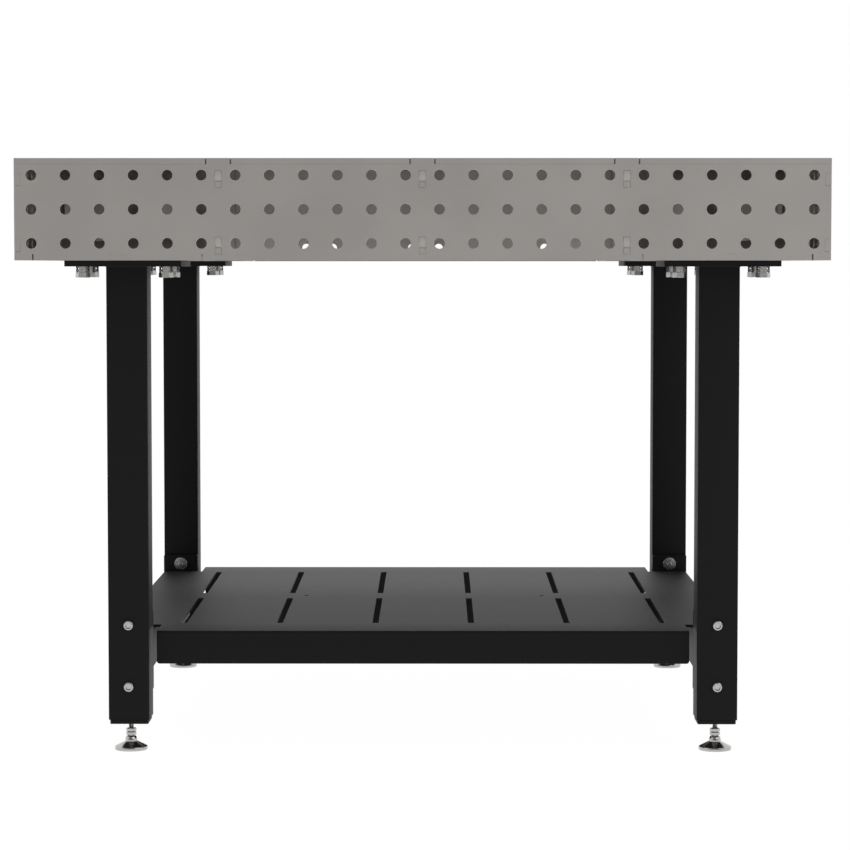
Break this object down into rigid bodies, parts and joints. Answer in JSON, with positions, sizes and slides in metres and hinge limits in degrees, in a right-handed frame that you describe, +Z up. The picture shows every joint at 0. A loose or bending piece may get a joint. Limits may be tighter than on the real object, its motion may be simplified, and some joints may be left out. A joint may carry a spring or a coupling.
{
  "type": "welding table",
  "caption": "Square perforated steel welding table on bolted legs with levelling feet and a slotted lower shelf.",
  "frame": {"origin": "on the floor under the middle of the table", "axes": "+Z up, -Y towards the front, +X to the right seen from the front"},
  "size_m": [1.2, 1.2, 0.9],
  "materials": {
    "steel_plate": "bare laser-cut steel plate, fine directional grain, lightly oiled",
    "black_paint": "black powder coat, fine texture",
    "zinc": "bright zinc plate"
  },
  "bodies": {
    "table": {"top_plate": "steel_plate", "front_panel": "steel_plate", "rear_panel": "steel_plate", "left_panel": "steel_plate", "right_panel": "steel_plate", "rib_left": "steel_plate", "rib_centre": "steel_plate", "rib_right": "steel_plate", "cross_rib_front": "steel_plate", "cross_rib_centre": "steel_plate", "cross_rib_rear": "steel_plate", "corner_plate_front_left": "steel_plate", "corner_plate_front_right": "steel_plate", "corner_plate_rear_left": "steel_plate", "corner_plate_rear_right": "steel_plate", "shelf": "black_paint", "shelf_beam": "black_paint", "rail_left": "black_paint", "rail_right": "black_paint", "leg_front_left": "black_paint", "leg_front_right": "black_paint", "leg_rear_left": "black_paint", "leg_rear_right": "black_paint", "flange_bolt_front_left_1": "zinc", "flange_bolt_front_left_2": "zinc", "flange_bolt_front_left_3": "zinc", "flange_bolt_front_left_4": "zinc", "flange_bolt_front_right_1": "zinc", "flange_bolt_front_right_2": "zinc", "flange_bolt_front_right_3": "zinc", "flange_bolt_front_right_4": "zinc", "flange_bolt_rear_left_1": "zinc", "flange_bolt_rear_left_2": "zinc", "flange_bolt_rear_left_3": "zinc", "flange_bolt_rear_left_4": "zinc", "flange_bolt_rear_right_1": "zinc", "flange_bolt_rear_right_2": "zinc", "flange_bolt_rear_right_3": "zinc", "flange_bolt_rear_right_4": "zinc", "rail_bolt_front_left_upper": "zinc", "rail_bolt_front_left_lower": "zinc", "rail_bolt_front_right_upper": "zinc", "rail_bolt_front_right_lower": "zinc", "rail_bolt_rear_left_upper": "zinc", "rail_bolt_rear_left_lower": "zinc", "rail_bolt_rear_right_upper": "zinc", "rail_bolt_rear_right_lower": "zinc"},
    "stem_front_left": {"foot_stem_front_left": "zinc"},
    "nut_front_left": {"foot_nut_front_left": "zinc"},
    "pad_front_left": {"foot_pad_front_left": "zinc"},
    "stem_front_right": {"foot_stem_front_right": "zinc"},
    "nut_front_right": {"foot_nut_front_right": "zinc"},
    "pad_front_right": {"foot_pad_front_right": "zinc"},
    "stem_rear_left": {"foot_stem_rear_left": "zinc"},
    "nut_rear_left": {"foot_nut_rear_left": "zinc"},
    "pad_rear_left": {"foot_pad_rear_left": "zinc"},
    "stem_rear_right": {"foot_stem_rear_right": "zinc"},
    "nut_rear_right": {"foot_nut_rear_right": "zinc"},
    "pad_rear_right": {"foot_pad_rear_right": "zinc"}
  },
  "joints": [
    {"name": "foot_height_front_left", "type": "slide", "parent": "table", "child": "stem_front_left", "axis": [0, 0, 1], "range_m": [-0.03, 0]},
    {"name": "lock_nut_front_left", "type": "slide", "parent": "stem_front_left", "child": "nut_front_left", "axis": [0, 0, 1], "range_m": [0, 0.0098]},
    {"name": "pad_tilt_front_left", "type": "hinge", "parent": "stem_front_left", "child": "pad_front_left", "pos_m": [-0.4485, -0.4485, 0.0145], "axis": [1, 0, 0], "range_deg": [-8, 8]},
    {"name": "foot_height_front_right", "type": "slide", "parent": "table", "child": "stem_front_right", "axis": [0, 0, 1], "range_m": [-0.03, 0]},
    {"name": "lock_nut_front_right", "type": "slide", "parent": "stem_front_right", "child": "nut_front_right", "axis": [0, 0, 1], "range_m": [0, 0.0098]},
    {"name": "pad_tilt_front_right", "type": "hinge", "parent": "stem_front_right", "child": "pad_front_right", "pos_m": [0.4485, -0.4485, 0.0145], "axis": [1, 0, 0], "range_deg": [-8, 8]},
    {"name": "foot_height_rear_left", "type": "slide", "parent": "table", "child": "stem_rear_left", "axis": [0, 0, 1], "range_m": [-0.03, 0]},
    {"name": "lock_nut_rear_left", "type": "slide", "parent": "stem_rear_left", "child": "nut_rear_left", "axis": [0, 0, 1], "range_m": [0, 0.0098]},
    {"name": "pad_tilt_rear_left", "type": "hinge", "parent": "stem_rear_left", "child": "pad_rear_left", "pos_m": [-0.4485, 0.4485, 0.0145], "axis": [1, 0, 0], "range_deg": [-8, 8]},
    {"name": "foot_height_rear_right", "type": "slide", "parent": "table", "child": "stem_rear_right", "axis": [0, 0, 1], "range_m": [-0.03, 0]},
    {"name": "lock_nut_rear_right", "type": "slide", "parent": "stem_rear_right", "child": "nut_rear_right", "axis": [0, 0, 1], "range_m": [0, 0.0098]},
    {"name": "pad_tilt_rear_right", "type": "hinge", "parent": "stem_rear_right", "child": "pad_rear_right", "pos_m": [0.4485, 0.4485, 0.0145], "axis": [1, 0, 0], "range_deg": [-8, 8]}
  ]
}
